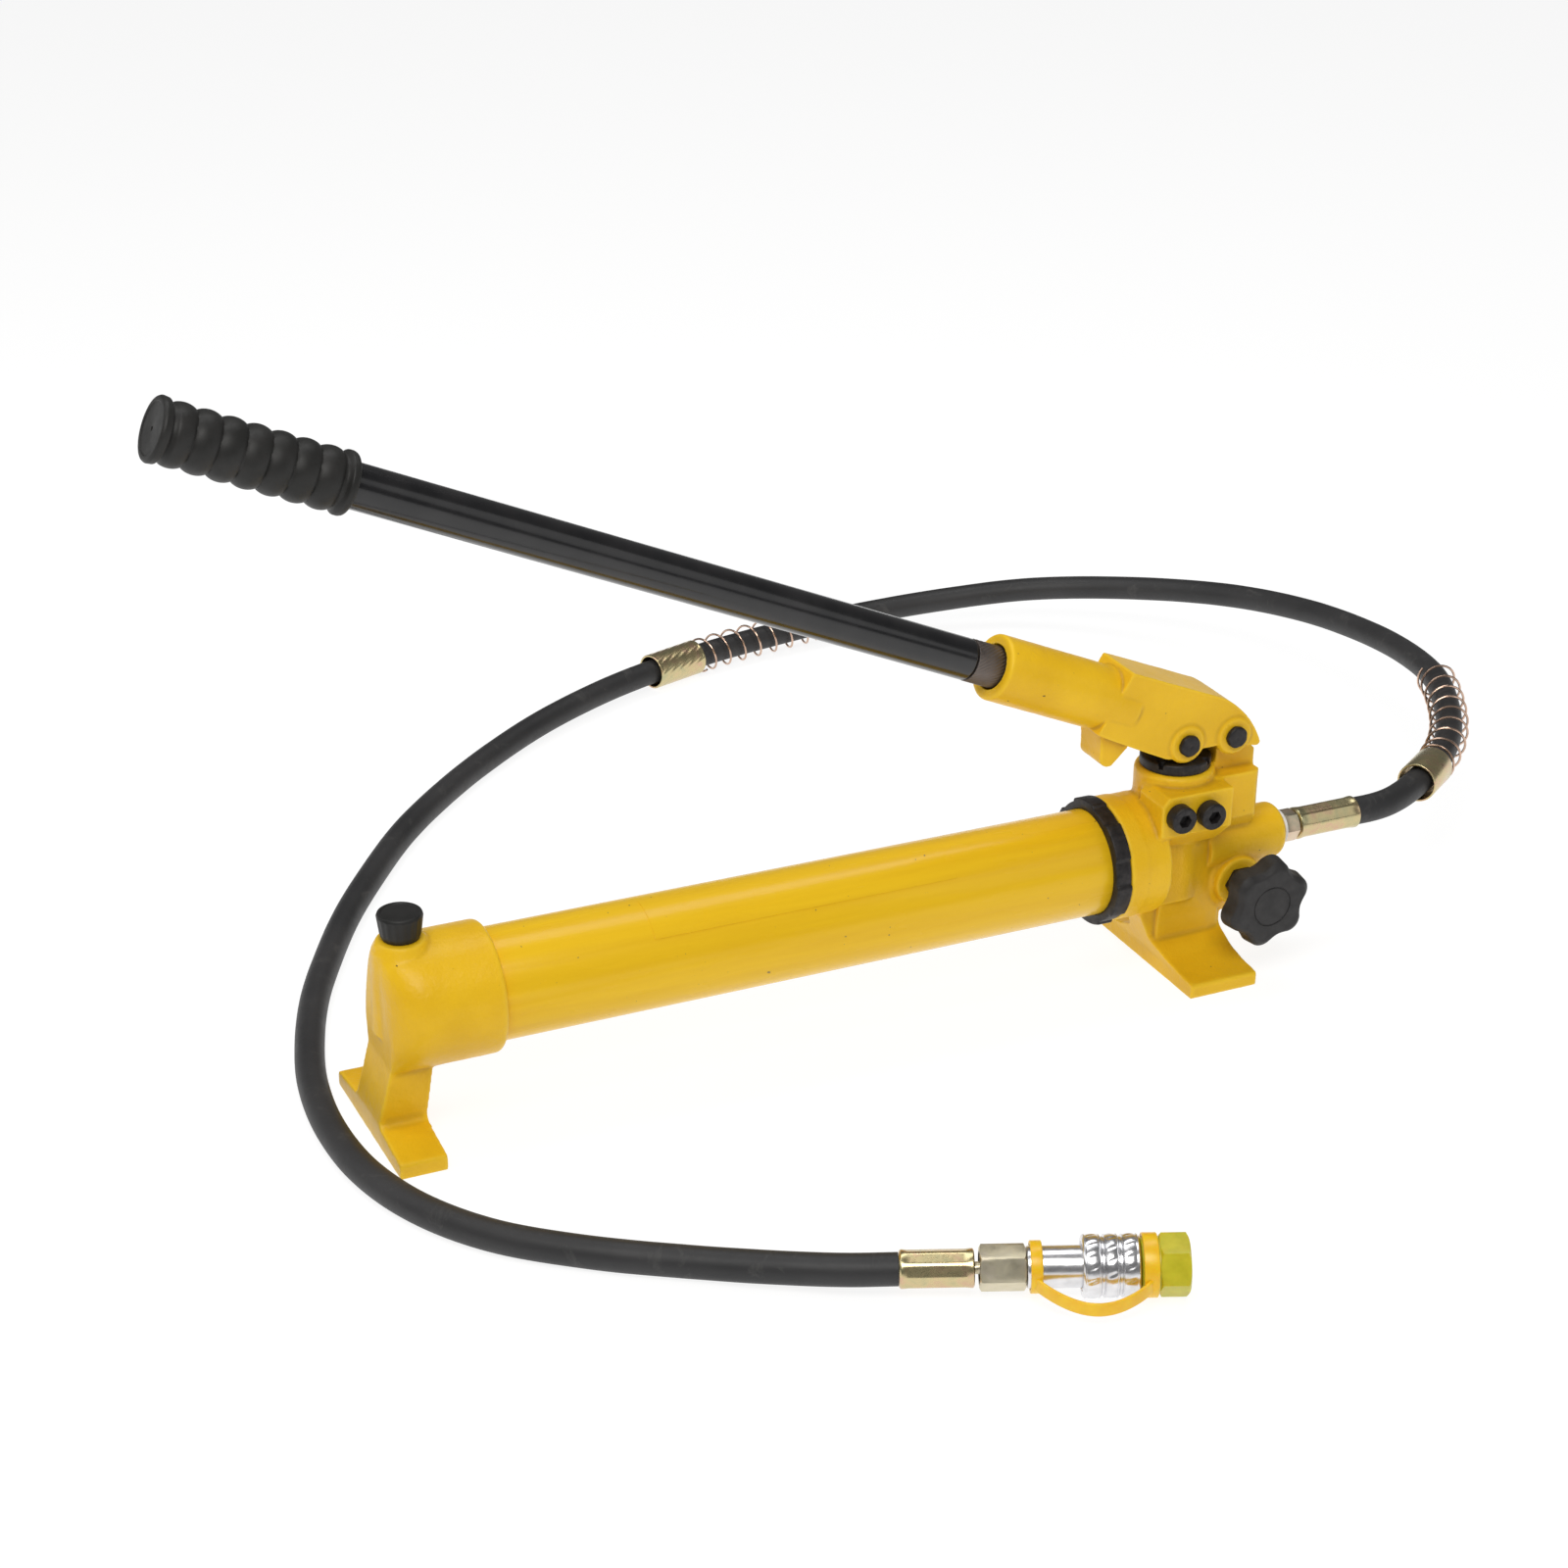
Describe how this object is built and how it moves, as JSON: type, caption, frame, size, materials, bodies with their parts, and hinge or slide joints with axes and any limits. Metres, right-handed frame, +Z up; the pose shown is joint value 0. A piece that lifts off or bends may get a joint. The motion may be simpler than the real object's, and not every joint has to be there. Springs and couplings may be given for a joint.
{
  "type": "hydraulic hand pump",
  "caption": "Lever-operated hydraulic hand pump with a tubular oil reservoir on two feet, a release valve, and a hose ending in a quick coupler with a dust cap.",
  "frame": {"origin": "on the floor plane, under the plunger's axis, on the front foot's underside", "axes": "+Z up along the plunger; +X from the reservoir towards the outlet port; -Y is the side with the release valve's knob"},
  "size_m": [0.9371, 0.8846, 0.432],
  "materials": {
    "yellow_casting": "enamel paint over a sand casting, satin, faint casting grain",
    "yellow_tube": "enamel paint over drawn steel tube, satin gloss",
    "black_steel": "black oxide, matte",
    "black_plastic": "moulded, matte",
    "black_gloss": "black gloss coat over steel tube",
    "hose_rubber": "smooth rubber cover, satin",
    "seal_rubber": "moulded seal rubber, matte",
    "bright_steel": "ground steel",
    "zinc": "zinc plated, warm clear passivate",
    "yellow_zinc": "yellow zinc plated",
    "copper_wire": "copper-coloured plated spring wire",
    "chrome": "polished chrome",
    "white_washer": "white sealing plastic",
    "cap_plastic": "translucent yellow-green moulded plastic",
    "strap_plastic": "flexible yellow plastic"
  },
  "bodies": {
    "pump": {"pump_head": "yellow_casting", "rear_cap": "yellow_casting", "reservoir_tube": "yellow_tube", "lock_ring": "black_steel", "gland_nut": "black_steel", "relief_plug_high": "black_steel", "relief_plug_low": "black_steel", "release_gland": "black_steel", "head_seal": "seal_rubber", "cap_seal": "seal_rubber", "wiper_ring": "seal_rubber", "plunger_seal": "seal_rubber", "suction_tube": "bright_steel", "suction_strainer": "bright_steel", "relief_spring_high": "bright_steel", "relief_spring_low": "bright_steel", "relief_ball_high": "bright_steel", "relief_ball_low": "bright_steel", "suction_check_ball": "bright_steel", "outlet_check_ball": "bright_steel", "outlet_check_spring": "bright_steel", "release_ball": "bright_steel", "poppet_spring": "bright_steel", "collar_spring": "bright_steel", "outlet_washer": "white_washer", "outlet_adapter": "zinc", "coupler_adapter": "zinc", "pump_end_ferrule": "yellow_zinc", "coupler_end_ferrule": "yellow_zinc", "pump_end_guard_sleeve": "yellow_zinc", "far_guard_sleeve": "yellow_zinc", "pump_end_guard_spring": "copper_wire", "far_guard_spring": "copper_wire", "hose": "hose_rubber", "coupler_body": "chrome", "coupler_poppet": "chrome"},
    "lever": {"lever_casting": "yellow_casting", "handle_shank": "bright_steel", "handle_tube": "black_gloss", "grip": "black_plastic", "plunger_pin": "black_steel", "plunger_pin_clip": "black_steel", "pivot_pin": "black_steel", "pivot_pin_clip": "black_steel"},
    "plunger": {"plunger": "bright_steel"},
    "release_valve": {"release_spindle": "bright_steel", "release_knob": "black_plastic"},
    "filler_cap": {"filler_cap": "black_plastic"},
    "coupler_collar": {"coupler_collar": "chrome"},
    "dust_cap": {"dust_cap": "cap_plastic", "dust_cap_strap": "strap_plastic"}
  },
  "joints": [
    {"name": "lever_swing", "type": "hinge", "parent": "pump", "child": "lever", "pos_m": [0.0284, 0, 0.1505], "axis": [0, 1, 0], "range_deg": [0, 38]},
    {"name": "plunger_slide", "type": "slide", "parent": "pump", "child": "plunger", "axis": [0, 0, 1], "range_m": [0, 0.021]},
    {"name": "release_turn", "type": "hinge", "parent": "pump", "child": "release_valve", "pos_m": [0.0394, -0.04, 0.052], "axis": [0, -1, 0], "range_deg": [0, 180]},
    {"name": "filler_lift", "type": "slide", "parent": "pump", "child": "filler_cap", "axis": [0, 0, 1], "range_m": [0, 0.025]},
    {"name": "collar_pull", "type": "slide", "parent": "pump", "child": "coupler_collar", "axis": [-0.9089, 0.4162, -0.0273], "range_m": [0, 0.005], "stiffness_N_per_m": 1500, "springref_m": -0.003, "deforming": ["collar_spring"]},
    {"name": "dust_cap_pull", "type": "slide", "parent": "pump", "child": "dust_cap", "axis": [0.9089, -0.4162, 0.0273], "range_m": [0, 0.01]}
  ],
  "couplings": [
    {"joint": "plunger_slide", "follows": "lever_swing", "m_per_rad": 0.0308}
  ]
}
